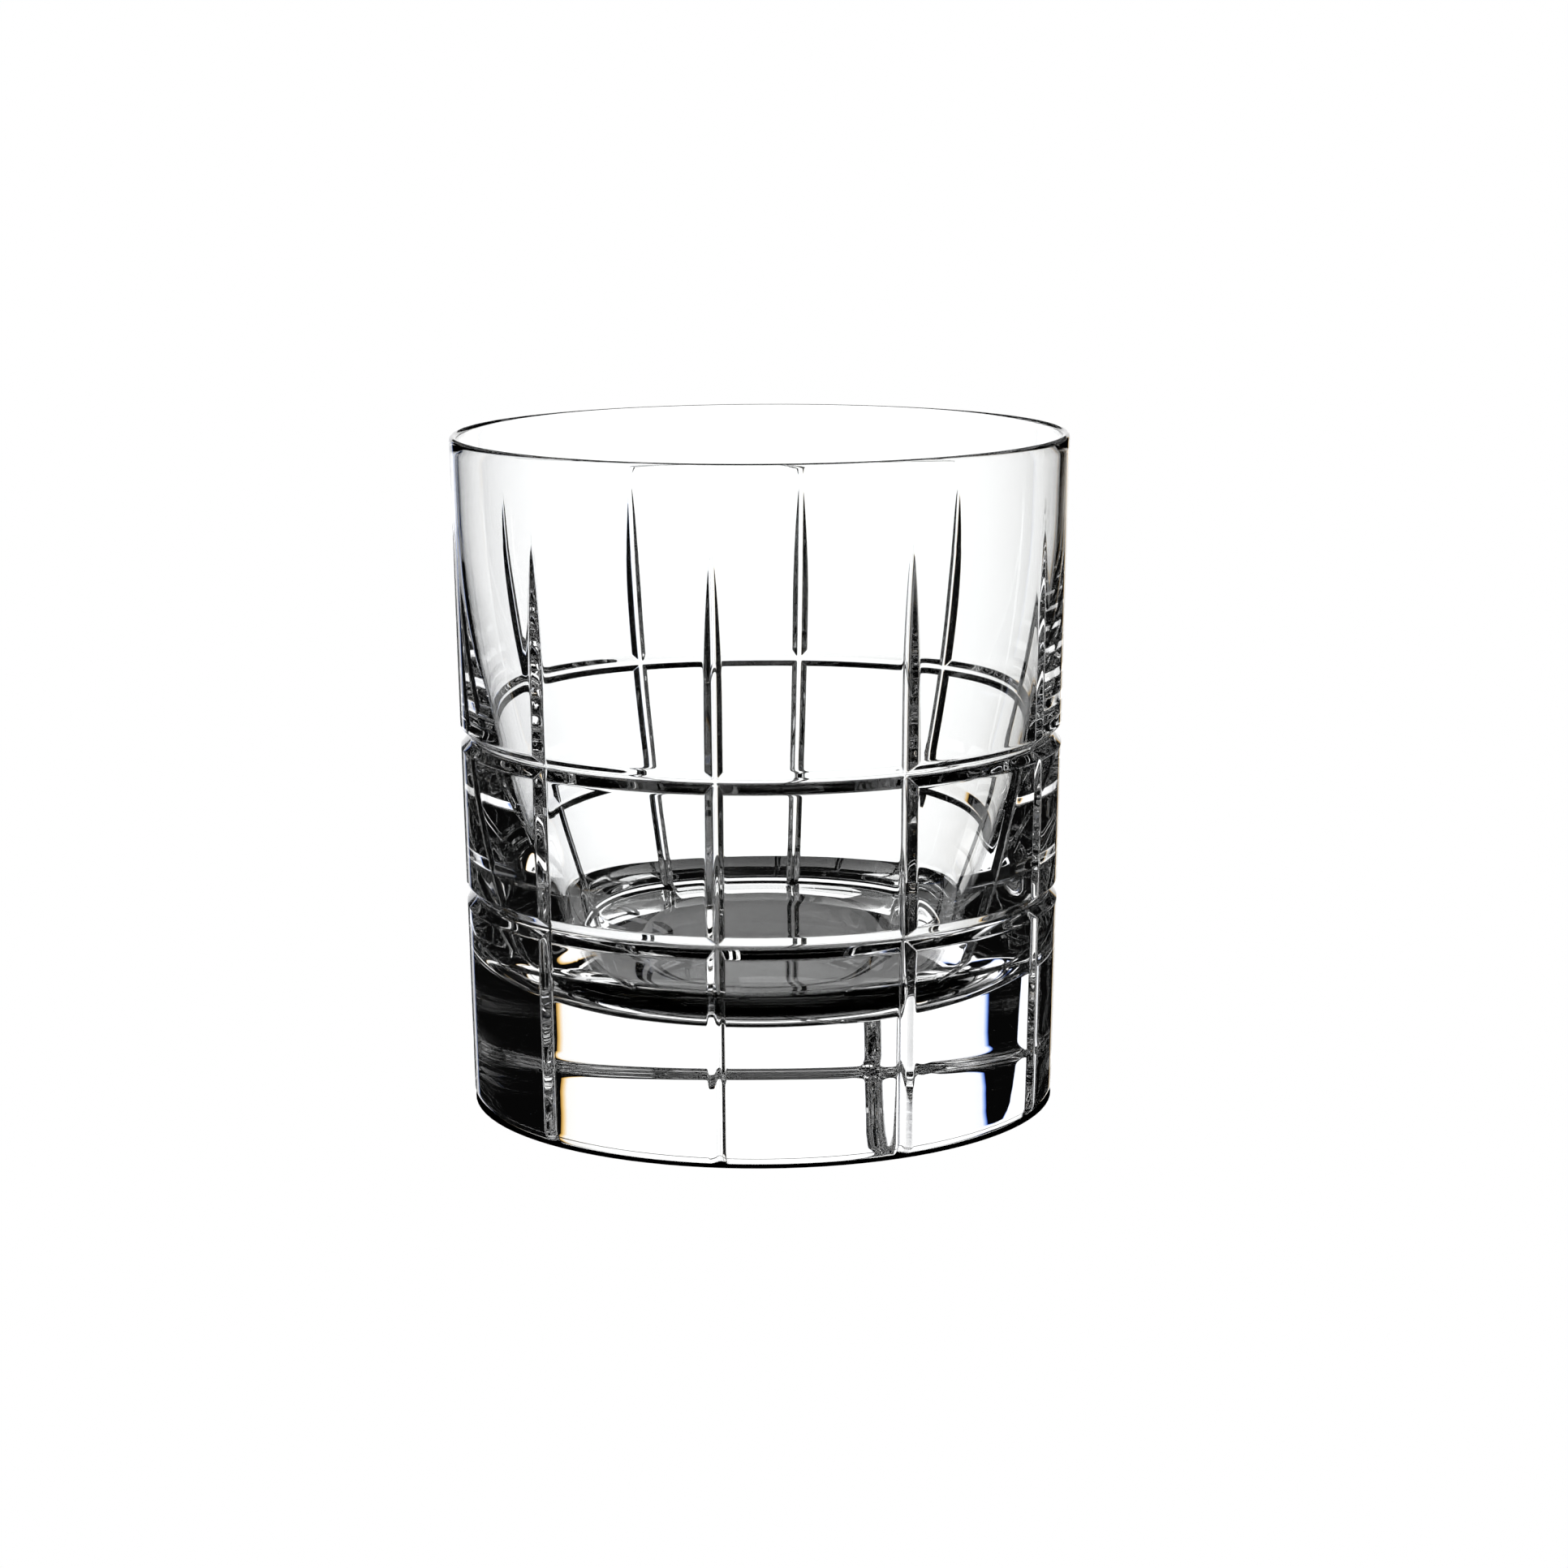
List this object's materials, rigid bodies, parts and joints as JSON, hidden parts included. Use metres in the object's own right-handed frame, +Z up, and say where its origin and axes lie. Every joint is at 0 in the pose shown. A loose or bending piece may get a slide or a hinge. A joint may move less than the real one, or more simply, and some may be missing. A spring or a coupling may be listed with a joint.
{
  "type": "whiskey tumbler",
  "caption": "Squat straight-sided drinking glass in clear cut crystal: thick solid foot, thin polished lip, pointed upright cuts crossed by ring cuts; holds a short drink.",
  "frame": {"origin": "centre of the underside of the foot, on the surface the glass stands on", "axes": "+Z up along the glass's axis of turning; -Y is the side seen from the front; the first upright cut is 8.5 degrees from -Y towards -X"},
  "size_m": [0.0826, 0.0826, 0.09],
  "materials": {
    "crystal": "clear polished cut crystal"
  },
  "bodies": {
    "root": {"tumbler_body": "crystal"}
  },
  "joints": []
}
